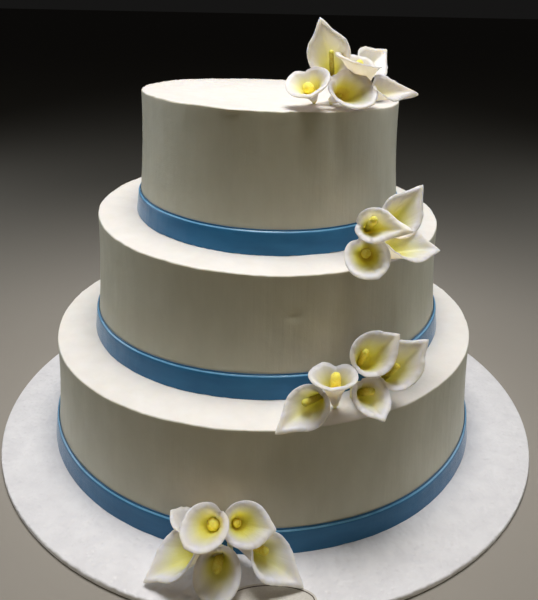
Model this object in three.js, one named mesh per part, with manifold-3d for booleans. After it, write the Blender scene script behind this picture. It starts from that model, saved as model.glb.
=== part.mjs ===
// A three-tier wedding cake on its round board: smooth white icing over 14, 11 and 8 inch
// cakes, a blue satin ribbon round the foot of each tier, and four sprays of sugar calla
// lilies that wind down the cake from the top to the board.
// Millimetres, +Z up. The origin is the middle of the board's underside, the front is -Y.
import * as THREE from "three";
import { mergeVertices } from "three/addons/utils/BufferGeometryUtils.js";
import Module from "manifold-3d";

const wasm = await Module();
wasm.setup();

// ---- Driving dimensions ----
const GAP = 0.3; // left between pieces that touch

const BOARD = { radius: 241, thickness: 5, edgeRound: 1 };

// centre, radius at the top, height at the centre, and how far the top leans (rise per mm)
const TIERS = [
  { name: "tier_bottom", centre: [-4, 0.7], radius: 184.5, height: 94.5, lean: [0.013, -0.007] },
  { name: "tier_middle", centre: [-2, 7.3], radius: 148, height: 99.6, lean: [-0.02, 0.034] },
  { name: "tier_top", centre: [-1.7, 8], radius: 108, height: 100.5, lean: [-0.028, -0.007] },
];
const ICING = { footFlare: 6, flareHeight: 90, rimRound: 1.6, segments: 48 };

const RIBBON = { height: 19, thickness: 2, edgeRound: 0.7 };
const RIBBON_NAMES = ["ribbon_bottom", "ribbon_middle", "ribbon_top"];

const LABEL = { centre: [7.5, -227], halfWidth: 29, halfDepth: 12, thickness: 0.4 };

// One lily is a thin cone of sugar paste: its rim is cut on a slope, drawn out to a point
// on the high side and nipped where its two edges overlap on the low side.
const PETAL = {
  baseRadius: 2.5,
  wall: 1.3,
  slope: 0.6, // how steeply the rim climbs from the seam to the tip
  tipLength: 2, // extra length pulled out at the tip
  tipSpread: 0.25, // radians
  seamNip: 0.16, // share of the radius that the seam dips in
  seamSpread: 0.35, // radians
  seamDip: 4, // how far the rim drops into the notch at the seam
  lip: [1.6, -1], // where the rolled rim is widest, outward and upward of the mouth's edge
  crown: [0.3, 0.5], // where it is highest
  throat: 0.2, // height of the throat's floor, as a share of the whole
  segments: 18,
};
const STEM = { radius: 1.3, sides: 4, steps: 3, lead: 3 };
const SPADIX = { footRadius: 1.4, widest: 0.65, segments: 6 };

// Where each lily starts from its spray's middle, the compass heading and the rise of its
// axis (degrees), the turn of its tip about that axis, the depth from base to seam, the
// radius of the mouth, the reach of the tip, and where the yellow spadix ends and its
// radius. Headings: 0 is right, -90 is to the front.
const lily = (from, heading, rise, turn, deep, mouth, reach, end = [0, 0, deep], girth = 3) => ({
  from, heading, rise, turn, deep, mouth, reach, end, girth,
});
const SPRAYS = [
  {
    name: "top_spray", on: 2, at: [53, -48],
    lilies: [
      lily([-21, -9, 4], -104, 31, 20, 24, 15.5, 17, [0, -1.4, 26], 4.4),
      lily([-5, 15, 13], -103, 40, 200, 30, 15, 21, [0, -2, 43], 2),
      lily([-8, -8, 4], -63, 22, 34, 22, 15.5, 16, [0, 0, 15], 2.2),
      lily([17.2, -7.8, 3.8], -123, 67.5, -34, 25, 15.4, 16.2, [0, 0, 34]),
      lily([8, 24, 12], 2, 45, 79, 18, 14, 26),
      lily([8, -23, 4], -7, 28, 55, 20, 11, 28, [0, 0, 18], 2.6),
    ],
  },
  {
    name: "middle_spray", on: 1, at: [73, -108],
    lilies: [
      lily([6, 15, 11], -48, 46, 122, 26, 14.5, 21.5),
      lily([-4, -2, 23], -87, 26, 76, 27, 11.5, 20.5, [-1, 3.8, 36], 2.9),
      lily([-3, 0, 5], -95, 18, 29, 27, 14.5, 15, [-1.4, 0.7, 29], 3.4),
      lily([2, -11, 6], -17, 33, 37, 18, 16, 21, [0, 0, 16], 2.6),
    ],
  },
  {
    name: "bottom_spray", on: 0, at: [58, -145],
    lilies: [
      lily([4, 1, 21], -64, 49, 108, 28, 13.8, 16.8, [-0.4, 4.3, 32], 2.6),
      lily([24, 8, 8], -74, 48, 118, 33, 15, 20, [0, 0, 41], 2.4),
      lily([-9, -13, 4], -103, 62, 3, 29, 15.5, 16.5, [0, 1.6, 39], 3.5),
      lily([5, -1, 6], -75, 27, 13, 28, 12, 14, [-2.6, 3.2, 32], 2.7),
      lily([-14, -2, 6], -117, 13, -38, 29, 13.5, 20, [0, -3.4, 36.5], 2.6),
    ],
  },
  {
    name: "board_spray", on: -1, at: [-28, -196],
    lilies: [
      lily([-1, 0, 30], -105, 39, -30, 27, 13.5, 14, [-1.6, 0, 22], 4.2),
      lily([7, 2, 30], -59, 35, 63, 18, 13.5, 15.5, [-1.2, 0.3, 15]),
      lily([2, -5, 14], -155, 15, -12, 26, 15, 22, [0, 0, 18], 2.4),
      lily([0, 2, 7], -90, 17, -5, 23, 14.5, 15.5, [0, -1, 28], 3.4),
      lily([6, 2, 17], -38, 9, 24, 30, 14, 22, [-0.6, 1.9, 33], 3.1),
      lily([-15, -4, 4.5], 141, 71, 15, 21, 11, 12),
    ],
  },
];

const MATERIALS = {
  board: { color: 0xe9e9ec, roughness: 0.45, metalness: 0 },
  label: { color: 0xb9b2a6, roughness: 0.6, metalness: 0 },
  icing: { color: 0xf3f0ea, roughness: 0.6, metalness: 0 },
  ribbon: { color: 0x2f6da3, roughness: 0.35, metalness: 0 },
  petal: { color: 0xf6f3ea, roughness: 0.55, metalness: 0 },
  spadix: { color: 0xe2c832, roughness: 0.75, metalness: 0 },
};

// ---- Helpers ----
const radians = THREE.MathUtils.degToRad;
const lerp = THREE.MathUtils.lerp;

function meshOf(name, geometry, finish) {
  const mesh = new THREE.Mesh(geometry, new THREE.MeshStandardMaterial(finish));
  mesh.name = name;
  return mesh;
}

// Turns a profile of [radius, height] pairs about the +Z axis, with a vertex row on +X.
function turned(profile, segments) {
  const points = profile.map(([r, h]) => new THREE.Vector2(r, h));
  return new THREE.LatheGeometry(points, segments, Math.PI / 2).rotateX(Math.PI / 2);
}

// Moves every vertex of a geometry by a function of its place.
function reshape(geometry, move) {
  const position = geometry.getAttribute("position");
  const point = new THREE.Vector3();
  for (let i = 0; i < position.count; i++) {
    move(point.fromBufferAttribute(position, i));
    position.setXYZ(i, point.x, point.y, point.z);
  }
  return geometry;
}

function solidFrom(geometry) {
  const bare = geometry.clone().deleteAttribute("normal").deleteAttribute("uv");
  const merged = mergeVertices(bare, 1e-4);
  return new wasm.Manifold(
    new wasm.Mesh({
      numProp: 3,
      vertProperties: new Float32Array(merged.getAttribute("position").array),
      triVerts: new Uint32Array(merged.index.array),
    }),
  );
}

function geometryFrom(solid) {
  const mesh = solid.getMesh();
  const geometry = new THREE.BufferGeometry();
  geometry.setAttribute("position", new THREE.BufferAttribute(mesh.vertProperties, 3));
  geometry.setIndex(new THREE.BufferAttribute(mesh.triVerts, 1));
  geometry.computeVertexNormals();
  return geometry;
}

function largestPiece(solid) {
  return solid.decompose().sort((a, b) => b.volume() - a.volume())[0];
}

// ---- Board and label ----
function boardGeometry() {
  const { radius, thickness, edgeRound } = BOARD;
  const profile = [
    [0, 0],
    [radius - edgeRound, 0],
    [radius, edgeRound],
    [radius, thickness - edgeRound],
    [radius - edgeRound, thickness],
    [0, thickness],
  ];
  return turned(profile, ICING.segments);
}

function labelGeometry() {
  const { halfWidth, halfDepth, thickness } = LABEL;
  const outline = new THREE.Shape().absellipse(0, 0, halfWidth, halfDepth, 0, 2 * Math.PI);
  return new THREE.ExtrudeGeometry(outline, {
    depth: thickness, bevelEnabled: false, curveSegments: 16,
  });
}

// ---- Tiers ----
// The height of a tier's top, or of the board's for tier -1, at a place on the cake.
function topHeight(tier, x, y) {
  if (tier < 0) return BOARD.thickness;
  const { centre, lean } = TIERS[tier];
  const level = TIERS.slice(0, tier + 1).reduce((sum, each) => sum + each.height, 0);
  return BOARD.thickness + level + lean[0] * (x - centre[0]) + lean[1] * (y - centre[1]);
}

// How far the side stands out below the rim, at a share of the tier's height.
function wallRadius(tier, share) {
  const { radius, height } = TIERS[tier];
  const flare = Math.max(0, 1 - (share * height) / ICING.flareHeight);
  return radius + ICING.footFlare * flare ** 2;
}

// Stands a turned shape between what lies under the tier and the tier's leaning top.
function standOnTier(tier, geometry) {
  const { centre, height } = TIERS[tier];
  return reshape(geometry, (p) => {
    const [x, y] = [p.x + centre[0], p.y + centre[1]];
    const bottom = topHeight(tier - 1, x, y) + GAP;
    p.set(x, y, lerp(bottom, topHeight(tier, x, y), p.z / height));
  });
}

function tierGeometry(tier) {
  const { radius, height } = TIERS[tier];
  const shares = [0, 0.2, 0.5, ICING.flareHeight / height];
  const side = shares.map((share) => [wallRadius(tier, share), share * height]);
  const rim = [
    [radius, height - ICING.rimRound],
    [radius - ICING.rimRound, height],
  ];
  const profile = [[0, 0], ...side, ...rim, [0, height]];
  return standOnTier(tier, turned(profile, ICING.segments));
}

function ribbonGeometry(tier) {
  const { height, thickness, edgeRound } = RIBBON;
  const foot = wallRadius(tier, 0) + GAP;
  const head = wallRadius(tier, height / TIERS[tier].height) + GAP;
  const profile = [
    [foot, 0],
    [foot + thickness, 0],
    [head + thickness, height - edgeRound],
    [head + thickness - edgeRound, height],
    [head, height],
    [foot, 0],
  ];
  return standOnTier(tier, turned(profile, ICING.segments));
}

// ---- Lilies ----
// The mouth's radius in plan at an angle from the tip: a circle with two straight edges
// that meet in the tip, and a dip at the seam.
const nearSeam = (angle) => Math.exp(-(((Math.PI - Math.abs(angle)) / PETAL.seamSpread) ** 2));

function mouthRadius(angle, { mouth, reach }) {
  const away = Math.abs(angle);
  const corner = Math.acos(Math.min(1, mouth / reach));
  const outline = away < corner ? mouth / Math.cos(corner - away) : mouth;
  const drawn = Math.min(1, (reach - mouth) / 5);
  const tip = drawn * PETAL.tipLength * Math.exp(-((away / PETAL.tipSpread) ** 2));
  return (outline + tip) * (1 - PETAL.seamNip * nearSeam(angle));
}

// The profile of a plain round lily, as [radius, height] pairs from its base out to the lip
// and back down the inside.
function petalProfile(mouth, height) {
  const flare = (share) =>
    PETAL.baseRadius + (mouth - PETAL.baseRadius) * (0.5 * share + 0.5 * share ** 3);
  const outside = [0, 0.5, 0.85].map((share) => [flare(share), share * height]);
  const lip = [PETAL.lip, PETAL.crown].map(([out, up]) => [mouth + out, height + up]);
  const inside = [0.8, 0.45, PETAL.throat].map((share) => [
    flare(share) - PETAL.wall, share * height,
  ]);
  return [[0, 0], ...outside, ...lip, ...inside, [0, PETAL.throat * height]];
}

// Draws a round turned lily out to its own rim: the radius follows the mouth's outline and
// the height follows the slope of the rim, more so the nearer a point is to the rim.
function drawOut(geometry, one, height) {
  const base = PETAL.baseRadius;
  return reshape(geometry, (p) => {
    const round = Math.atan2(p.y, p.x);
    const angle = round - 0.3 * Math.sin(round); // closer rows near the tip
    const radius = Math.hypot(p.x, p.y);
    const wide = mouthRadius(angle, one);
    const grown = Math.max(0, radius - base) * ((wide - base) / (one.mouth - base));
    const level = one.deep + PETAL.slope * (wide * Math.cos(angle) + one.mouth);
    const rim = level - PETAL.seamDip * nearSeam(angle);
    const share = p.z / height;
    const out = Math.min(radius, base) + grown;
    const stretch = 1 + (rim / height - 1) * Math.min(1, share);
    p.set(out * Math.cos(angle), out * Math.sin(angle), p.z * stretch);
  });
}

const lilyHeight = (one) => one.deep + PETAL.slope * one.mouth;

function petalGeometry(one) {
  const height = lilyHeight(one);
  return drawOut(turned(petalProfile(one.mouth, height), PETAL.segments), one, height);
}

// The room that a lily takes up, its mouth closed over and its wall grown by the gap.
function roomGeometry(one) {
  const height = lilyHeight(one);
  const outside = petalProfile(one.mouth, height).slice(1, 6);
  const grown = outside.map(([r, h]) => [r + GAP, h]);
  const profile = [[0, -GAP], [grown[0][0], -GAP], ...grown.slice(1), [0, height]];
  return drawOut(turned(profile, PETAL.segments), one, height);
}

// The spadix is turned, then leaned over from its foot to where it ends.
function spadixGeometry(one) {
  const { footRadius, widest, segments } = SPADIX;
  const foot = PETAL.throat * lilyHeight(one) + 1;
  const [x, y, top] = one.end;
  const profile = [
    [0, foot],
    [footRadius, foot],
    [one.girth, lerp(foot, top, widest)],
    [0.7 * one.girth, top - 0.5 * one.girth],
    [0, top],
  ];
  return reshape(turned(profile, segments), (p) => {
    const share = (p.z - foot) / (top - foot);
    p.set(p.x + x * share, p.y + y * share, p.z);
  });
}

// The wired stem: it leaves the base along the lily's axis and bends down to the icing.
function stemGeometry(place, surface, radius) {
  const { sides, steps, lead } = STEM;
  const along = (distance) => new THREE.Vector3(0, 0, distance).applyMatrix4(place);
  const start = along(lead);
  const foot = along(0);
  foot.z = surface(foot.x, foot.y) + GAP;
  const route = new THREE.CubicBezierCurve3(
    start, along(-lead), foot.clone().setZ(foot.z + lead), foot,
  );
  const section = new THREE.Shape();
  for (let i = 0; i < sides; i++) {
    const angle = (2 * Math.PI * i) / sides;
    const point = [radius * Math.cos(angle), radius * Math.sin(angle)];
    if (i) section.lineTo(...point);
    else section.moveTo(...point);
  }
  return new THREE.ExtrudeGeometry(section, { steps, extrudePath: route });
}

// The turns that carry a lily from standing upright to its heading, rise and turn.
function lilyMatrix(one) {
  return new THREE.Matrix4()
    .makeTranslation(...one.from)
    .multiply(new THREE.Matrix4().makeRotationZ(radians(one.heading)))
    .multiply(new THREE.Matrix4().makeRotationY(radians(90 - one.rise)))
    .multiply(new THREE.Matrix4().makeRotationZ(radians(one.turn)));
}

// A spray's lilies, each cut clear of the room of those before it.
function sprayGroup({ name, on, at, lilies }) {
  const group = new THREE.Group();
  const level = topHeight(on, ...at);
  const surface = (x, y) => topHeight(on, x + at[0], y + at[1]) - level;
  group.position.set(...at, level);
  const taken = [];
  lilies.forEach((one, i) => {
    const place = lilyMatrix(one);
    const stem = (radius) => solidFrom(stemGeometry(place, surface, radius));
    let petal = solidFrom(petalGeometry(one).applyMatrix4(place)).add(stem(STEM.radius));
    let spadix = solidFrom(spadixGeometry(one).applyMatrix4(place));
    for (const room of taken) {
      petal = petal.subtract(room);
      spadix = spadix.subtract(room);
    }
    const room = solidFrom(roomGeometry(one).applyMatrix4(place));
    taken.push(room.add(stem(STEM.radius + GAP)));
    const label = `${name}_lily_${i + 1}`;
    group.add(meshOf(label, geometryFrom(largestPiece(petal)), MATERIALS.petal));
    group.add(meshOf(`${label}_spadix`, geometryFrom(largestPiece(spadix)), MATERIALS.spadix));
  });
  return group;
}

// ---- Assembly ----
const cake = new THREE.Group();
cake.add(meshOf("board", boardGeometry(), MATERIALS.board));

const label = meshOf("board_label", labelGeometry(), MATERIALS.label);
label.position.set(...LABEL.centre, BOARD.thickness + GAP);
cake.add(label);

TIERS.forEach(({ name }, i) => {
  cake.add(meshOf(name, tierGeometry(i), MATERIALS.icing));
  cake.add(meshOf(RIBBON_NAMES[i], ribbonGeometry(i), MATERIALS.ribbon));
});

SPRAYS.forEach((spray) => cake.add(sprayGroup(spray)));

export default cake;
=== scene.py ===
import math

import bmesh
import bpy
from mathutils import Matrix, Vector, noise


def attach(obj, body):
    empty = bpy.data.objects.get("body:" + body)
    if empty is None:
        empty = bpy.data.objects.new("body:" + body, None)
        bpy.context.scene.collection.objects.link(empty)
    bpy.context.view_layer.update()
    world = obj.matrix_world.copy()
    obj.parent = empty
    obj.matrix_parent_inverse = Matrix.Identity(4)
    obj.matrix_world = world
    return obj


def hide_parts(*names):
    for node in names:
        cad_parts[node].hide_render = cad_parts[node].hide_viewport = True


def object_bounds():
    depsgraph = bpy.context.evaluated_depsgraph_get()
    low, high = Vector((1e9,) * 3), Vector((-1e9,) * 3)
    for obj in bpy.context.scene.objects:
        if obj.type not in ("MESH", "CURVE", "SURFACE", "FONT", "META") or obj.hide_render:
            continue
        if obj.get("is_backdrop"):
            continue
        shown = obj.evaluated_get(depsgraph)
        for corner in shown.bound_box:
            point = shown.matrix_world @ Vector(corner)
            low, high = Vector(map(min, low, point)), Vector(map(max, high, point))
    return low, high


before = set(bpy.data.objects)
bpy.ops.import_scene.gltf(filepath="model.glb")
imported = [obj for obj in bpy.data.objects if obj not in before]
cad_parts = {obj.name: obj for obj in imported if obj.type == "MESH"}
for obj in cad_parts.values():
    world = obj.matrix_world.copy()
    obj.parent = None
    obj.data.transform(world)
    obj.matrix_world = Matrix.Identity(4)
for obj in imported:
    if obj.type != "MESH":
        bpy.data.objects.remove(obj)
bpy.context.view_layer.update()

# A three-tier wedding cake in smooth white icing on its round board, with a blue satin ribbon
# round each tier and four sprays of sugar calla lilies. Sizes are given in millimetres.
MM = 0.001

# ---- Camera ----
# It stands half a metre before the cake's middle, level with the tip of the highest lily, and
# looks down on the board. The shift keeps the whole cake inside the upright frame.
camera = bpy.data.objects.new("camera", bpy.data.cameras.new("camera"))
bpy.context.scene.collection.objects.link(camera)
camera.location = (0.0053, -0.548, 0.3686)
camera.rotation_euler = [math.radians(turn) for turn in (72.482, -1.114, 0.352)]
camera.data.lens = 38.71
camera.data.shift_x = -0.0126
camera.data.shift_y = -0.1481
bpy.context.scene.camera = camera

# ---- Cake board ----
# A thin round card, covered in white foil paper with a pebbled grain, turned under at the
# rim. The whole cake is built up on it, and it rests flat on the table.
BOARD_RADIUS = 240.9
BOARD_THICK = 5
BOARD_ROUND = 1.6


def turned_shape(profile, steps):
    """A round bmesh, turned about the upright axis from (radius, height) pairs in mm."""
    shape = bmesh.new()
    along = shape.verts.layers.float.new("along")
    points = [shape.verts.new((r * MM, 0, h * MM)) for r, h in profile]
    for i, point in enumerate(points):
        point[along] = i / (len(points) - 1)
    edges = [shape.edges.new(pair) for pair in zip(points, points[1:])]
    bmesh.ops.spin(shape, geom=points + edges, cent=(0, 0, 0), axis=(0, 0, 1),
                   angle=math.tau, steps=steps, use_merge=True)
    bmesh.ops.remove_doubles(shape, verts=shape.verts, dist=1e-6)
    bmesh.ops.recalc_face_normals(shape, faces=shape.faces)
    return shape


def bend_points(centre, radius, start, end, count):
    """Points along a rounded corner, from one angle in degrees to another."""
    turns = [math.radians(start + (end - start) * i / (count - 1)) for i in range(count)]
    return [(centre[0] + radius * math.cos(t), centre[1] + radius * math.sin(t)) for t in turns]


def cake_piece(name, shape, stands_for, materials):
    """Makes a finished piece from a bmesh: smooth, on the cake, in place of its CAD nodes."""
    mesh = bpy.data.meshes.new(name)
    shape.to_mesh(mesh)
    shape.free()
    mesh.polygons.foreach_set("use_smooth", [True] * len(mesh.polygons))
    piece = bpy.data.objects.new(name, mesh)
    bpy.context.scene.collection.objects.link(piece)
    for material in materials:
        mesh.materials.append(material)
    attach(piece, "root")
    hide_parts(*stands_for)
    return piece


def finish_of(name, colour, roughness):
    """A new material with its node tree, its surface shader and its Object coordinates."""
    material = bpy.data.materials.new(name)
    material.use_nodes = True
    tree = material.node_tree
    surface = tree.nodes["Principled BSDF"]
    surface.inputs["Base Color"].default_value = (*colour, 1)
    surface.inputs["Roughness"].default_value = roughness
    place = tree.nodes.new("ShaderNodeTexCoord").outputs["Object"]
    return material, tree, surface, place


def grain(tree, place, scale, detail=2.0, squeeze=(1, 1, 1)):
    """Cloudy noise over a piece, with cells of 1 / scale metres, drawn out by squeeze."""
    stretch = tree.nodes.new("ShaderNodeMapping")
    stretch.inputs["Scale"].default_value = squeeze
    tree.links.new(place, stretch.inputs["Vector"])
    clouds = tree.nodes.new("ShaderNodeTexNoise")
    clouds.inputs["Scale"].default_value = scale
    clouds.inputs["Detail"].default_value = detail
    tree.links.new(stretch.outputs["Vector"], clouds.inputs["Vector"])
    return clouds.outputs["Fac"]


def shades(tree, level, stops):
    """Colours by level: stops are (place from 0 to 1, colour)."""
    ramp = tree.nodes.new("ShaderNodeValToRGB")
    marks = ramp.color_ramp.elements
    while len(marks) < len(stops):
        marks.new(0.5)
    for mark, (position, colour) in zip(marks, stops):
        mark.position = position
        mark.color = (*colour, 1)
    tree.links.new(level, ramp.inputs["Fac"])
    return ramp.outputs["Color"]


def relief(tree, surface, layers):
    """Raises the surface by layers of (height from 0 to 1, depth in metres)."""
    normal = None
    for height, depth in layers:
        bump = tree.nodes.new("ShaderNodeBump")
        bump.inputs["Strength"].default_value = 1.0
        bump.inputs["Distance"].default_value = depth
        tree.links.new(height, bump.inputs["Height"])
        if normal:
            tree.links.new(normal, bump.inputs["Normal"])
        normal = bump.outputs["Normal"]
    tree.links.new(normal, surface.inputs["Normal"])


foil, tree, surface, place = finish_of("white foil paper", (0.79, 0.78, 0.80), 0.36)
pebbles = tree.nodes.new("ShaderNodeTexVoronoi")
pebbles.feature = "SMOOTH_F1"
pebbles.inputs["Scale"].default_value = 260
tree.links.new(place, pebbles.inputs["Vector"])
mottle = grain(tree, place, 70, 4)
tree.links.new(shades(tree, mottle, [(0.3, (0.75, 0.74, 0.765)), (0.7, (0.83, 0.82, 0.84))]),
               surface.inputs["Base Color"])
tree.links.new(shades(tree, grain(tree, place, 500, 2), [(0.3, (0.28,) * 3), (0.7, (0.48,) * 3)]),
               surface.inputs["Roughness"])
relief(tree, surface, [(pebbles.outputs["Distance"], 0.0012), (mottle, 0.0004)])
surface.inputs["Coat Weight"].default_value = 0.15

rim = BOARD_RADIUS - BOARD_ROUND
profile = [(0, 0), (rim / 2, 0), (rim - 12, 0)]
profile += bend_points((rim, BOARD_ROUND), BOARD_ROUND, -90, 0, 7)
profile += bend_points((rim, BOARD_THICK - BOARD_ROUND), BOARD_ROUND, 0, 90, 7)
profile += [(rim * share, BOARD_THICK) for share in (0.98, 0.9, 0.8, 0.6, 0.3, 0)]
cake_piece("cake_board", turned_shape(profile, 240), ["board"], [foil])

# ---- Sticker ----
# A small oval paper sticker on the front of the board. It is bare, with only a thin printed
# border, and its edge stands a hair above the foil.
STICKER_CENTRE = (7.5, -227)
STICKER_HALF = (29, 12)
STICKER_THICK = 0.3
STICKER_GAP = 0.02
STICKER_MARGIN = 1.3
BORDER_WIDTH = 0.9

sticker_paper, tree, surface, place = finish_of("sticker paper", (0.62, 0.59, 0.54), 0.38)
tree.links.new(shades(tree, grain(tree, place, 900, 3),
                      [(0.3, (0.58, 0.55, 0.49)), (0.7, (0.66, 0.63, 0.58))]),
               surface.inputs["Base Color"])
relief(tree, surface, [(grain(tree, place, 1600, 2), 0.0001)])
border_ink, tree, surface, place = finish_of("printed border", (0.09, 0.07, 0.06), 0.38)
tree.links.new(shades(tree, grain(tree, place, 1200, 2),
                      [(0.3, (0.07, 0.055, 0.045)), (0.7, (0.13, 0.10, 0.08))]),
               surface.inputs["Base Color"])

shape = bmesh.new()
bmesh.ops.create_circle(shape, cap_ends=True, radius=1, segments=96)
bmesh.ops.scale(shape, vec=(STICKER_HALF[0] * MM, STICKER_HALF[1] * MM, 1), verts=shape.verts)
for width, finish in ((STICKER_MARGIN, 0), (BORDER_WIDTH, 1)):
    middle = [face for face in shape.faces if len(face.verts) > 4]
    strip = bmesh.ops.inset_individual(shape, faces=middle, thickness=width * MM)["faces"]
    for face in strip:
        face.material_index = finish
raised = bmesh.ops.extrude_face_region(shape, geom=list(shape.faces))["geom"]
lifted = [item for item in raised if isinstance(item, bmesh.types.BMVert)]
bmesh.ops.translate(shape, vec=(0, 0, STICKER_THICK * MM), verts=lifted)
place = Vector((*STICKER_CENTRE, BOARD_THICK + STICKER_GAP))
bmesh.ops.translate(shape, vec=place * MM, verts=shape.verts)
bmesh.ops.recalc_face_normals(shape, faces=shape.faces)
sticker = cake_piece("sticker", shape, ["board_label"], [sticker_paper, border_ink])
sticker.data.polygons.foreach_set("use_smooth", [False] * len(sticker.data.polygons))

# ---- Iced tiers ----
# Round cakes of 14, 11 and 8 inches under a coat of white buttercream. The icing was drawn
# smooth with an upright scraper, which left faint streaks and slightly uneven, crisp rims.
LAYER_GAP = 0.1
# name, the CAD node it stands for, centre, top radius, height, and how far the top leans
TIERS = [
    ("cake_bottom", "tier_bottom", (-4, 0.7), 184.5, 94.5, (0.013, -0.007)),
    ("cake_middle", "tier_middle", (-2, 7.3), 148, 99.6, (-0.02, 0.034)),
    ("cake_top", "tier_top", (-1.7, 8), 108, 100.5, (-0.028, -0.007)),
]
FOOT_FLARE = 6
FLARE_HEIGHT = 90
RIM_ROUND = 1.3
BROAD_SWELL = 0.5
FINE_SWELL = 0.16
TOP_RIPPLE = 0.5
TOP_DIMPLE = 0.45
RIM_CHIP = 0.5
# marks left in the icing: tier, direction, height, out or in, spread round and spread up
MARKS = [(2, -104.5, 99.4, 1.4, 8, 1.4), (1, -81.7, 67, -1.3, 5, 4), (1, -128, 40, 0.5, 14, 20),
         (0, -150, 60, -0.6, 20, 14), (0, 60, 50, -0.5, 24, 20), (2, 100, 60, -0.5, 16, 18)]


def top_height(tier, x, y):
    """The height of a tier's top, or of the board's for tier -1, in mm."""
    if tier < 0:
        return BOARD_THICK
    _, _, centre, _, _, lean = TIERS[tier]
    level = BOARD_THICK + sum(each[4] for each in TIERS[:tier + 1])
    return level + lean[0] * (x - centre[0]) + lean[1] * (y - centre[1])


def wall_radius(tier, height):
    """How far a tier's side stands out at a height above its foot."""
    return TIERS[tier][3] + FOOT_FLARE * max(0, 1 - height / FLARE_HEIGHT) ** 2


def icing_swell(tier, angle, height):
    """How far the hand-smoothed icing stands out from a true cylinder."""
    round_x, round_y = math.cos(angle), math.sin(angle)
    swell = BROAD_SWELL * noise.noise((round_x * 2.2, round_y * 2.2, height * 0.012 + 7 * tier))
    swell += FINE_SWELL * noise.noise((round_x * 11, round_y * 11, height * 0.006 + 3 * tier))
    radius = wall_radius(tier, height)
    for where, direction, level, out, spread, rise in MARKS:
        if where == tier:
            away = (angle - math.radians(direction) + math.pi) % math.tau - math.pi
            near = (away * radius / spread) ** 2 + ((height - level) / rise) ** 2
            swell += out * math.exp(-near)
    return swell


buttercream, tree, surface, place = finish_of("white buttercream", (0.75, 0.715, 0.64), 0.5)
clouds = grain(tree, place, 60, 5, squeeze=(1, 1, 0.45))
# The walls get a darker, warmer colour and the flat upper faces a lighter one: painted shade on the
# walls and painted light above, blended by how far the surface faces up.
shaded_sides = shades(tree, clouds, [(0.3, (0.555, 0.54, 0.435)), (0.7, (0.61, 0.595, 0.49))])
lit_tops = shades(tree, clouds, [(0.3, (0.79, 0.755, 0.71)), (0.7, (0.84, 0.81, 0.77))])
facing = tree.nodes.new("ShaderNodeNewGeometry")
upward = tree.nodes.new("ShaderNodeSeparateXYZ")
tree.links.new(facing.outputs["Normal"], upward.inputs["Vector"])
lit_and_shaded = tree.nodes.new("ShaderNodeMix")
lit_and_shaded.data_type = "RGBA"
tree.links.new(shades(tree, upward.outputs["Z"], [(0.35, (0, 0, 0)), (0.9, (1, 1, 1))]),
               lit_and_shaded.inputs["Factor"])
tree.links.new(shaded_sides, lit_and_shaded.inputs["A"])
tree.links.new(lit_tops, lit_and_shaded.inputs["B"])
tree.links.new(lit_and_shaded.outputs["Result"], surface.inputs["Base Color"])
streaks = grain(tree, place, 190, 3, squeeze=(1, 1, 0.045))
pores = grain(tree, place, 900, 2)
tree.links.new(shades(tree, streaks, [(0.3, (0.44,) * 3), (0.7, (0.58,) * 3)]),
               surface.inputs["Roughness"])
relief(tree, surface, [(streaks, 0.00035), (pores, 0.00008), (grain(tree, place, 60, 2), 0.0006)])
surface.inputs["Subsurface Weight"].default_value = 0.25
surface.inputs["Subsurface Radius"].default_value = (1.0, 0.75, 0.5)
surface.inputs["Subsurface Scale"].default_value = 0.004
surface.inputs["Specular IOR Level"].default_value = 0.4

for tier, (name, node, centre, radius, height, lean) in enumerate(TIERS):
    profile = [(0, 0), (radius / 2, 0)]
    side_top = height - RIM_ROUND
    profile += [(wall_radius(tier, side_top * i / 40), side_top * i / 40) for i in range(41)]
    profile += bend_points((radius - RIM_ROUND, side_top), RIM_ROUND, 15, 90, 6)
    profile += [((radius - RIM_ROUND) * (1 - i / 14), height) for i in range(1, 15)]
    shape = turned_shape(profile, 400)
    for point in shape.verts:
        x, y, z = point.co / MM
        out, angle = math.hypot(x, y), math.atan2(y, x)
        if out > 1:
            grown = out + icing_swell(tier, angle, z) * min(1, out / radius) ** 6
            x, y = grown * math.cos(angle), grown * math.sin(angle)
        if z > height / 2:
            ripple = TOP_RIPPLE * noise.noise((x * 0.022, y * 0.022, 5 * tier + 2))
            ripple += TOP_DIMPLE * noise.noise((x * 0.05, y * 0.05, 5 * tier + 9))
            chip = RIM_CHIP * noise.noise((x * 0.16, y * 0.16, 5 * tier))
            z += (ripple + chip * min(1, out / radius) ** 40) * (z / height) ** 8
        x, y = x + centre[0], y + centre[1]
        low, high = top_height(tier - 1, x, y) + LAYER_GAP, top_height(tier, x, y)
        point.co = Vector((x, y, low + (high - low) * z / height)) * MM
    cake_piece(name, shape, [node], [buttercream])

# ---- Ribbons ----
# Blue satin ribbon, 19 mm wide, drawn twice round the foot of each tier and stuck down with
# a dab of icing at the back. The outer turn is folded over and sits a little lower.
RIBBON_HEIGHT = 19
RIBBON_THICK = 1.7
RIBBON_OFF_ICING = 0.25
EDGE_WAVE = 0.28
FOOT_LIFT = 0.9
# the profile points, counted from its foot, of the folded edge, which gets a painted highlight
FOLDED_ROWS = {9, 10, 11}
RIBBONS = [("satin_band_bottom", "ribbon_bottom"), ("satin_band_middle", "ribbon_middle"),
           ("satin_band_top", "ribbon_top")]

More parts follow.
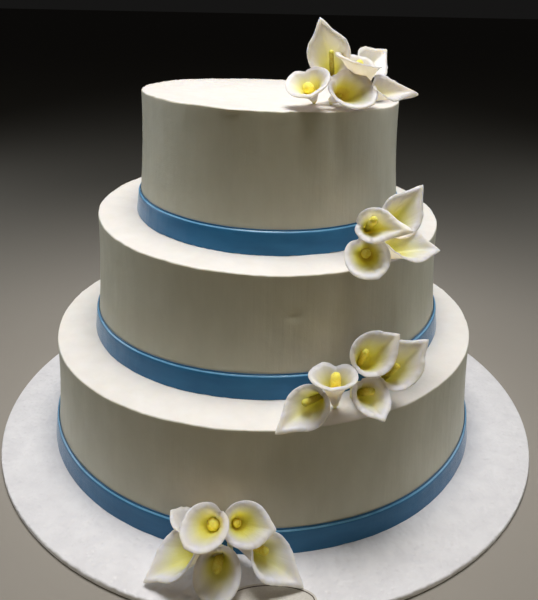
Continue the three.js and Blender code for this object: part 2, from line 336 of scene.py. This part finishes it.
satin, tree, surface, place = finish_of("blue satin", (0.025, 0.14, 0.29), 0.36)
tree.links.new(shades(tree, grain(tree, place, 26, 4, squeeze=(1, 1, 4)),
                      [(0.25, (0.016, 0.12, 0.27)), (0.75, (0.03, 0.17, 0.36))]),
               surface.inputs["Base Color"])
threads = grain(tree, place, 1500, 2, squeeze=(0.06, 0.06, 2.2))
tree.links.new(shades(tree, threads, [(0.3, (0.28,) * 3), (0.7, (0.44,) * 3)]),
               surface.inputs["Roughness"])
relief(tree, surface, [(threads, 0.00012), (grain(tree, place, 55, 3, squeeze=(1, 1, 0.3)), 0.0008)])
surface.inputs["Sheen Weight"].default_value = 0.35
surface.inputs["Sheen Roughness"].default_value = 0.3
surface.inputs["Specular IOR Level"].default_value = 0.3

# A lighter blue for the folded edge: a painted highlight where the fold faces up into the light.
edge_highlight, tree, surface, place = finish_of("satin edge painted highlight", (0.16, 0.42, 0.68), 0.3)
tree.links.new(shades(tree, grain(tree, place, 90, 3),
                      [(0.3, (0.12, 0.36, 0.62)), (0.7, (0.22, 0.50, 0.76))]),
               surface.inputs["Base Color"])
relief(tree, surface, [(grain(tree, place, 400, 2), 0.0002)])


def wrap_round(tier, shape):
    """Lays a turned ribbon on what is under the tier, following the uneven icing."""
    centre = TIERS[tier][2]
    for point in shape.verts:
        x, y, z = point.co / MM
        angle = math.atan2(y, x)
        wave = EDGE_WAVE * noise.noise((math.cos(angle) * 6, math.sin(angle) * 6, 4 * tier))
        out = math.hypot(x, y) + icing_swell(tier, angle, z) + wave * z / RIBBON_HEIGHT
        x, y = out * math.cos(angle) + centre[0], out * math.sin(angle) + centre[1]
        share = z / RIBBON_HEIGHT
        lifted = max(0, noise.noise((math.cos(angle) * 20, math.sin(angle) * 20, 7 + tier)))
        z += FOOT_LIFT * lifted * (1 - share) ** 3
        z += top_height(tier - 1, x, y) + LAYER_GAP + 0.5 * wave * share
        point.co = Vector((x, y, z)) * MM


for tier, (name, node) in enumerate(RIBBONS):
    foot = wall_radius(tier, 0) + RIBBON_OFF_ICING
    head = wall_radius(tier, RIBBON_HEIGHT) + RIBBON_OFF_ICING
    steep = (head - foot) / RIBBON_HEIGHT
    outer = foot + RIBBON_THICK
    profile = [(foot, 0), (outer, 0)]
    profile += [(outer + steep * z, z) for z in (1.2, 3, 6, 9, 12, 15, 16.6)]
    profile += [(head + RIBBON_THICK, 17), (head + 1.6, 17.2), (head + 0.7, 17.8), (head + 0.6, 17.5),
                (head + 0.55, 17.7), (head + 0.55, 18.8), (head + 0.35, RIBBON_HEIGHT),
                (head, 18.8), (foot, 0)]
    band = turned_shape(profile, 320)
    along = band.verts.layers.float["along"]
    # The faces of the folded edge take the lighter blue of the painted highlight.
    for face in band.faces:
        rows = {round(point[along] * (len(profile) - 1)) for point in face.verts}
        if rows <= FOLDED_ROWS:
            face.material_index = 1
    wrap_round(tier, band)
    wound = cake_piece(name, band, [node], [satin, edge_highlight])
    wound.data.set_sharp_from_angle(angle=math.radians(30))

# ---- Lilies ----
# Calla lilies of white sugar paste. Each is rolled thin, wrapped into a funnel with its
# edges lapped at the low side, curled at the lip and drawn out to a point on the high side.
# Its throat is dusted yellow and green. It is wired, and its stem is hidden below the spray.
PETAL_BASE = 2.5
PETAL_WALL = 1.4
PETAL_STEPS = 96
LIP_ROLL = 2.65
LIP_OUT = 0.3
LIP_DROP = 0.7
RIM_SLOPE = 0.6
THROAT = 0.2
LAP_DROP = 4
RIM_RUFFLE = 0.35
RIM_WAVE = 0.22
RIM_RIPPLE = 0.16
STEM_RADIUS = 1.25
# how much more room a lily is given than it fills, so that its neighbours are cut clear of it
ROOM_SPARE = 0.2
STEM_SPARE = 0.15
# spray, the tier it lies on, its middle, and its lilies: where each starts, heading, rise,
# turn of the tip, depth to the lap, radius of the mouth, reach of the tip, where its yellow
# finger ends and that finger's radius, how far up the throat the yellow dust goes, and how
# pale it is at the bottom
SPRAYS = [
    ("top_spray", 2, (53, -48), [
        ((-21, -9, 4), -104, 31, 20, 24, 15.5, 17, (0, -1.4, 26), 4.4, 2.1, 0.15),
        ((-5, 15, 13), -103, 40, 200, 30, 15, 21, (0, -2, 43), 2, 1.7, 0.2),
        ((-8, -8, 4), -63, 22, 34, 22, 15.5, 16, (0, 0, 15), 2.2, 2.5, 0),
        ((17.2, -7.8, 3.8), -123, 67.5, -34, 25, 15.4, 16.2, (0, 0, 34), 3, 2.2, 0.3),
        ((8, 24, 12), 2, 45, 79, 18, 14, 26, (0, 0, 18), 3, 1.2, 0.25),
        ((8, -23, 4), -7, 28, 55, 20, 11, 28, (0, 0, 18), 2.6, 1.2, 0.25)]),
    ("middle_spray", 1, (73, -108), [
        ((6, 15, 11), -48, 46, 122, 26, 14.5, 21.5, (0, 0, 26), 3, 2.4, 0.1),
        ((-4, -2, 23), -87, 26, 76, 27, 11.5, 20.5, (-1, 3.8, 36), 2.9, 2.2, 0.1),
        ((-3, 0, 5), -95, 18, 29, 27, 14.5, 15, (-1.4, 0.7, 29), 3.4, 2.5, 0),
        ((2, -11, 6), -17, 33, 37, 18, 16, 21, (0, 0, 16), 2.6, 2.2, 0.15)]),
    ("bottom_spray", 0, (58, -145), [
        ((4, 1, 21), -64, 49, 108, 28, 13.8, 16.8, (-0.4, 4.3, 32), 2.6, 3, 0.1),
        ((24, 8, 8), -74, 48, 118, 33, 15, 20, (0, 0, 41), 2.4, 2.5, 0.25),
        ((-9, -13, 4), -103, 62, 3, 29, 15.5, 16.5, (0, 1.6, 39), 3.5, 2, 0.2),
        ((5, -1, 6), -75, 27, 13, 28, 12, 14, (-2.6, 3.2, 32), 2.7, 2.3, 0.15),
        ((-14, -2, 6), -117, 13, -38, 29, 13.5, 20, (0, -3.4, 36.5), 2.6, 2.1, 0.15)]),
    ("board_spray", -1, (-28, -196), [
        ((-1, 0, 30), -105, 39, -30, 27, 13.5, 14, (-1.6, 0, 22), 4.6, 2.4, 0.1),
        ((7, 2, 30), -59, 35, 63, 18, 13.5, 15.5, (-1.2, 0.3, 15), 3, 2.4, 0.05),
        ((2, -5, 14), -155, 15, -12, 26, 15, 22, (0, 0, 18), 2.4, 3, 0.15),
        ((0, 2, 7), -90, 17, -5, 23, 14.5, 15.5, (0, -1, 28), 3.4, 2.1, 0.1),
        ((6, 2, 17), -38, 9, 24, 30, 14, 22, (-0.6, 1.9, 33), 3.1, 2.3, 0.2),
        ((-15, -4, 4.5), 141, 71, 15, 21, 11, 12, (0, 0, 21), 3, 0.6, 0.3)]),
]

sugar_paste, tree, surface, place = finish_of("white sugar paste", (0.89, 0.875, 0.83), 0.42)
depth_map = tree.nodes.new("ShaderNodeUVMap")
depth_map.uv_map = "petal"
split = tree.nodes.new("ShaderNodeSeparateXYZ")
tree.links.new(depth_map.outputs["UV"], split.inputs["Vector"])
dust = grain(tree, place, 160, 3)
blown = tree.nodes.new("ShaderNodeMath")
blown.operation = "MULTIPLY_ADD"
blown.inputs[1].default_value = 0.22
tree.links.new(dust, blown.inputs[0])
tree.links.new(split.outputs["Y"], blown.inputs[2])
paste = shades(tree, blown.outputs["Value"], [
    (0.10, (0.62, 0.43, 0.03)), (0.25, (0.86, 0.72, 0.08)), (0.45, (0.92, 0.79, 0.23)),
    (0.68, (0.93, 0.82, 0.47)), (0.88, (0.91, 0.795, 0.64)), (1.0, (0.90, 0.79, 0.73))])
tree.links.new(paste, surface.inputs["Base Color"])
ribs = tree.nodes.new("ShaderNodeTexNoise")
ribs.inputs["Scale"].default_value = 30
ribs.inputs["Detail"].default_value = 3
squash = tree.nodes.new("ShaderNodeMapping")
squash.inputs["Scale"].default_value = (1, 0.06, 1)
tree.links.new(depth_map.outputs["UV"], squash.inputs["Vector"])
tree.links.new(squash.outputs["Vector"], ribs.inputs["Vector"])
relief(tree, surface, [(ribs.outputs["Fac"], 0.0002), (grain(tree, place, 1100, 2), 0.00006)])
surface.inputs["Subsurface Weight"].default_value = 1.0
surface.inputs["Subsurface Radius"].default_value = (1.0, 0.88, 0.6)
surface.inputs["Subsurface Scale"].default_value = 0.009

pollen, tree, surface, place = finish_of("yellow pollen sugar", (0.92, 0.79, 0.12), 0.7)
tree.links.new(shades(tree, grain(tree, place, 700, 3),
                      [(0.3, (0.84, 0.71, 0.06)), (0.7, (0.94, 0.90, 0.24))]),
               surface.inputs["Base Color"])
relief(tree, surface, [(grain(tree, place, 2200, 2), 0.0003)])
surface.inputs["Subsurface Weight"].default_value = 0.8
surface.inputs["Subsurface Radius"].default_value = (0.8, 0.7, 0.3)
surface.inputs["Subsurface Scale"].default_value = 0.006


def near_lap(angle):
    """How near a direction is to the lap at the low side: 1 at the lap, 0 away from it."""
    return math.exp(-((math.pi - abs(angle)) / 0.35) ** 2)


def mouth_radius(angle, mouth, reach, blunt):
    """The rim's radius in plan: a circle with two straight edges that meet in a blunt tip."""
    away = math.hypot(angle, blunt)
    corner = math.acos(min(1, mouth / reach))
    outline = mouth / math.cos(corner - away) if away < corner else mouth
    drawn = min(1, (reach - mouth) / 5)
    tip = drawn * 2 * math.exp(-(away / 0.25) ** 2)
    return (outline + tip) * (1 - 0.16 * near_lap(angle))


def petal_side(mouth, height, offset):
    """One face of the wall, from the base up to the lip, at an offset from its middle."""
    join_x = mouth + LIP_OUT - 0.866 * LIP_ROLL
    join_z = height - LIP_DROP - 0.5 * LIP_ROLL
    foot = PETAL_BASE - PETAL_WALL / 2
    side = []
    for i in range(15):
        share = i / 15
        wide = foot + (join_x - foot) * (0.55 * share + 0.45 * share ** 3)
        side.append((wide + offset * (1 - 0.134 * share), join_z * share))
    roll_centre = (mouth + LIP_OUT, height - LIP_DROP - LIP_ROLL)
    return side + bend_points(roll_centre, LIP_ROLL - offset, 150, 90, 7)


def drawn_out(shape, deep, mouth, reach, curl):
    """Draws a round turned funnel out to the lily's own sloping, pointed and lapped rim."""
    height = deep + RIM_SLOPE * mouth
    for point in shape.verts:
        x, y, z = point.co / MM
        round_turn = math.atan2(y, x)
        angle = round_turn - 0.3 * math.sin(round_turn)
        radius = math.hypot(x, y)
        share = min(1, z / height)
        wide = mouth_radius(angle, mouth, reach, 0.5 * (1 - share))
        grown = max(0, radius - PETAL_BASE) * (wide - PETAL_BASE) / (mouth - PETAL_BASE)
        rim = deep + RIM_SLOPE * (wide * math.cos(angle) + mouth) - LAP_DROP * near_lap(angle)
        lap = math.copysign(0.5, angle) * math.exp(-((math.pi - abs(angle)) / 0.22) ** 2)
        ruffle = math.sin(3 * angle + curl) + 0.6 * math.sin(5 * angle - 2 * curl)
        calm = 1 - math.exp(-(angle / 0.5) ** 2)
        out = (min(radius, PETAL_BASE) + grown + lap * share) * (
            1 + 0.012 * ruffle * share ** 3 * calm)
        z *= 1 + (rim / height - 1) * share
        z += (RIM_RUFFLE * ruffle + RIM_WAVE * math.sin(13 * angle + 3 * curl)
              + RIM_RIPPLE * math.sin(22 * angle - curl)) * share ** 5 * calm
        point.co = Vector((out * math.cos(angle), out * math.sin(angle), z)) * MM


def petal_outside(mouth, height, spare):
    """The outside of a plain round lily, up to the rounded edge of its rolled lip."""
    half = PETAL_WALL / 2 + spare
    edge = bend_points((mouth + LIP_OUT, height - LIP_DROP), half, -90, 90, 7)
    return petal_side(mouth, height, half) + edge[1:]


def petal_shape(deep, mouth, reach, curl, dust, pale):
    """A lily standing upright, its tip towards +X, with its depth in the map "petal"."""
    height = deep + RIM_SLOPE * mouth
    outside = [(0, 0), (1.6, 0.1)] + petal_outside(mouth, height, 0)
    inside = [spot for spot in petal_side(mouth, height, -PETAL_WALL / 2)
              if spot[1] > THROAT * height][::-1]
    shape = turned_shape(outside + inside[1:] + [(0, THROAT * height)], PETAL_STEPS)
    along = shape.verts.layers.float["along"]
    rim_share = (len(outside) - 1) / (len(outside) + len(inside) - 1)
    unwrap = shape.loops.layers.uv.new("petal")
    for face in shape.faces:
        middle = face.calc_center_median()
        facing = math.atan2(middle.y, middle.x)
        for loop in face.loops:
            co = loop.vert.co
            turn = math.atan2(co.y, co.x) if math.hypot(co.x, co.y) > 1e-6 else facing
            turn += math.tau * round((facing - turn) / math.tau)
            depth = max(0, (co.z / MM / height - THROAT) / (1 - THROAT)) ** dust
            depth = pale + (1 - pale) * depth
            # The outside runs from yellow at its foot to white at the lip: partly the yellow base of
            # a real calla, partly painted warm shade under the lily.
            if loop.vert[along] < rim_share:
                depth = 0.5 + 1.6 * co.z / MM / height
            loop[unwrap].uv = (turn / math.tau, depth)
    drawn_out(shape, deep, mouth, reach, curl)
    return shape


def room_shape(deep, mouth, reach, curl):
    """The room a lily takes up: its outside, a hair larger, with its mouth closed over."""
    height = deep + RIM_SLOPE * mouth
    profile = [(0, -ROOM_SPARE)] + petal_outside(mouth, height, ROOM_SPARE)
    shape = turned_shape(profile, PETAL_STEPS)
    drawn_out(shape, deep, mouth, reach, curl)
    edge = [line for line in shape.edges if line.is_boundary]
    mouth_over = bmesh.ops.contextual_create(shape, geom=edge)["faces"]
    bmesh.ops.triangulate(shape, faces=mouth_over)
    bmesh.ops.recalc_face_normals(shape, faces=shape.faces)
    return shape


def finger_shape(deep, mouth, end, girth, seed):
    """The yellow finger in the throat, rolled in pollen sugar, as knobbly as the real one."""
    foot, top = THROAT * (deep + RIM_SLOPE * mouth) - 0.5, end[2] - 0.2
    profile = [(0, foot)]
    for i in range(49):
        share = i / 48
        swollen = 1.5 + (girth - 1.6) * math.sin(min(1, share / 0.55) * math.pi / 2)
        blunt = math.sqrt(max(0, 1 - max(0, share - 1 + girth / (top - foot)) ** 2
                              * ((top - foot) / girth) ** 2))
        profile.append((swollen * blunt, foot + (top - foot) * share))
    shape = turned_shape(profile, 40)
    for point in shape.verts:
        spot = point.co / MM
        knob = noise.voronoi(spot / 1.1 + Vector((seed, 0, 0)))[0][0]
        outward = Vector((spot.x, spot.y, 0))
        if outward.length > 0.05:
            spot += outward.normalized() * (0.16 - 0.45 * min(knob, 0.8))
        share = (spot.z - foot) / (top - foot)
        point.co = (spot + Vector((end[0], end[1], 0)) * share) * MM
    return shape


def stem_shape(stand, tier, radius):
    """The wire in its sugar sleeve, from the lily's base in a bend down to the icing."""
    shape = bmesh.new()
    start, handle = stand @ Vector((0, 0, 1.5)), stand @ Vector((0, 0, -3))
    foot = stand @ Vector((0, 0, 0))
    foot.z = top_height(tier, foot.x, foot.y) + LAYER_GAP
    over = foot + Vector((0, 0, 3))
    before = None
    for i in range(9):
        t = i / 8
        spot = ((1 - t) ** 3 * start + 3 * (1 - t) ** 2 * t * handle
                + 3 * (1 - t) * t ** 2 * over + t ** 3 * foot)
        ahead = ((1 - t) ** 2 * (handle - start) + 2 * (1 - t) * t * (over - handle)
                 + t ** 2 * (foot - over))
        lay = Matrix.Translation(spot) @ ahead.to_track_quat("Z", "X").to_matrix().to_4x4()
        ring = bmesh.ops.create_circle(shape, cap_ends=i in (0, 8), radius=radius,
                                       segments=12, matrix=lay)["verts"]
        edges = list({edge for vert in ring for edge in vert.link_edges})
        if before:
            bmesh.ops.bridge_loops(shape, edges=before + edges)
        before = edges
    bmesh.ops.scale(shape, vec=(MM, MM, MM), verts=shape.verts)
    bmesh.ops.recalc_face_normals(shape, faces=shape.faces)
    unwrap = shape.loops.layers.uv.new("petal")
    for face in shape.faces:
        for loop in face.loops:
            loop[unwrap].uv = (0.5, 0.5)
    return shape


def boolean_of(shape, other, how):
    """The first bmesh with the other one added to it or cut from it."""
    holders = []
    for part in (shape, other):
        mesh = bpy.data.meshes.new("part")
        part.to_mesh(mesh)
        holders.append(bpy.data.objects.new("part", mesh))
        bpy.context.scene.collection.objects.link(holders[-1])
    step = holders[0].modifiers.new("step", "BOOLEAN")
    step.operation, step.solver, step.object = how, "MANIFOLD", holders[1]
    seen = holders[0].evaluated_get(bpy.context.evaluated_depsgraph_get())
    made = bpy.data.meshes.new_from_object(seen)
    shape.clear()
    shape.from_mesh(made)
    bpy.data.meshes.remove(made)
    for holder in holders:
        mesh = holder.data
        bpy.data.objects.remove(holder)
        bpy.data.meshes.remove(mesh)


def touches(shape, other):
    """Whether the boxes round two bmeshes meet."""
    boxes = [[(min(v.co[k] for v in part.verts), max(v.co[k] for v in part.verts))
              for k in range(3)] for part in (shape, other)]
    return all(a[0] < b[1] and b[0] < a[1] for a, b in zip(*boxes))


def largest_left(shape):
    """Drops the scraps that a cut leaves, and keeps the largest part."""
    unseen, parts = set(shape.verts), []
    while unseen:
        part, edge = set(), [unseen.pop()]
        while edge:
            vert = edge.pop()
            part.add(vert)
            for line in vert.link_edges:
                other = line.other_vert(vert)
                if other in unseen:
                    unseen.remove(other)
                    edge.append(other)
        parts.append(part)
    parts.sort(key=len)
    for part in parts[:-1]:
        bmesh.ops.delete(shape, geom=list(part), context="VERTS")


for spray, tier, (spray_x, spray_y), lilies in SPRAYS:
    level = top_height(tier, spray_x, spray_y)
    rooms = []
    for number, lily in enumerate(lilies, 1):
        start, heading, rise, tip_turn, *size, end, girth, dust, pale = lily
        stand = (Matrix.Translation(Vector((spray_x, spray_y, level)) + Vector(start))
                 @ Matrix.Rotation(math.radians(heading), 4, "Z")
                 @ Matrix.Rotation(math.radians(90 - rise), 4, "Y")
                 @ Matrix.Rotation(math.radians(tip_turn), 4, "Z"))
        in_metres = Matrix.Scale(MM, 4) @ stand @ Matrix.Scale(1 / MM, 4)
        curl = 1.7 * number + tier
        calla = petal_shape(*size, curl, dust, pale)
        finger = finger_shape(*size[:2], end, girth, number)
        room = room_shape(*size, curl)
        for shape in (calla, finger, room):
            shape.transform(in_metres)
        boolean_of(calla, stem_shape(stand, tier, STEM_RADIUS), "UNION")
        for taken in rooms:
            for shape in (calla, finger):
                if touches(shape, taken):
                    boolean_of(shape, taken, "DIFFERENCE")
        largest_left(calla)
        largest_left(finger)
        boolean_of(room, stem_shape(stand, tier, STEM_RADIUS + STEM_SPARE), "UNION")
        rooms.append(room)
        node = f"{spray}_lily_{number}"
        petal = cake_piece(f"{spray}_calla_{number}", calla, [node], [sugar_paste])
        petal.data.set_sharp_from_angle(angle=math.radians(60))
        cake_piece(f"{spray}_calla_{number}_finger", finger, [f"{node}_spadix"],
                   [pollen])

# ---- Floor and light ----
# A plain pale floor, with a soft light straight above the cake, one low on each side, and a
# warm one far in front.
FLOOR_HALF = 40
FLOOR_GAP = 0.0002

floor_finish, tree, surface, place = finish_of("pale floor", (0.30, 0.275, 0.24), 0.75)
shape = bmesh.new()
bmesh.ops.create_grid(shape, x_segments=1, y_segments=1, size=FLOOR_HALF)
floor_mesh = bpy.data.meshes.new("floor")
shape.to_mesh(floor_mesh)
shape.free()
floor_mesh.materials.append(floor_finish)
floor = bpy.data.objects.new("floor", floor_mesh)
floor.location.z = -FLOOR_GAP
bpy.context.scene.collection.objects.link(floor)
floor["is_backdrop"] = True

world = bpy.data.worlds.new("studio")
world.use_nodes = True
world.node_tree.nodes["Background"].inputs["Color"].default_value = (1, 0.97, 0.94, 1)
world.node_tree.nodes["Background"].inputs["Strength"].default_value = 0.008
bpy.context.scene.world = world
bpy.context.scene.view_settings.view_transform = "Standard"

# name, place, aim, size, power, spread in degrees and colour of each light
LIGHTS = [
    ("light_above", (0.0, -0.06, 1.3), (-0.01, -0.02, 0.15), 0.55, 1.95, 55, (1, 0.98, 0.965)),
    ("light_left", (-1.15, 0.25, 0.5), (0, 0, 0.15), 0.6, 4.1, 180, (0.95, 0.99, 1)),
    ("light_right", (1.15, 0.25, 0.5), (0, 0, 0.15), 0.6, 3.7, 180, (0.95, 0.99, 1)),
    ("light_front", (0.3, -1.6, 0.8), (0, 0, 0.15), 1.0, 1.9, 180, (1, 0.85, 0.42)),
]
for name, spot, aim, size, power, spread, tint in LIGHTS:
    lamp = bpy.data.lights.new(name, "AREA")
    lamp.size = size
    lamp.energy = power
    lamp.spread = math.radians(spread)
    lamp.color = tint
    light = bpy.data.objects.new(name, lamp)
    light.location = spot
    light.rotation_euler = (Vector(aim) - Vector(spot)).to_track_quat("-Z", "Y").to_euler()
    bpy.context.scene.collection.objects.link(light)

low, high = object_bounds()
